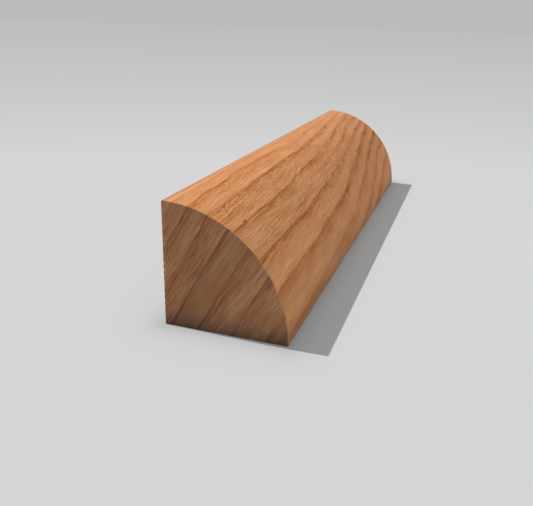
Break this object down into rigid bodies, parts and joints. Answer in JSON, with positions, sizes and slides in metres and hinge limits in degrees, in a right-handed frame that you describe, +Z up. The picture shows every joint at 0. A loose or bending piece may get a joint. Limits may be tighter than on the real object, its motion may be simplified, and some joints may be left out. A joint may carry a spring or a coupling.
{
  "type": "quarter round moulding",
  "caption": "Short stick of solid timber quarter round moulding with a flat floor face, a flat wall face at right angles to it, a convex curved face and square sawn ends.",
  "frame": {"origin": "on the floor face, halfway along the stick and halfway between the wall face and the toe", "axes": "+Y along the stick, +Z up out of the floor face, -X out of the wall face, +X towards the toe of the curved face"},
  "size_m": [0.019, 0.1, 0.019],
  "materials": {
    "timber": "bare reddish-brown timber, planed and finely sanded, matte"
  },
  "bodies": {
    "root": {"moulding": "timber"}
  },
  "joints": []
}
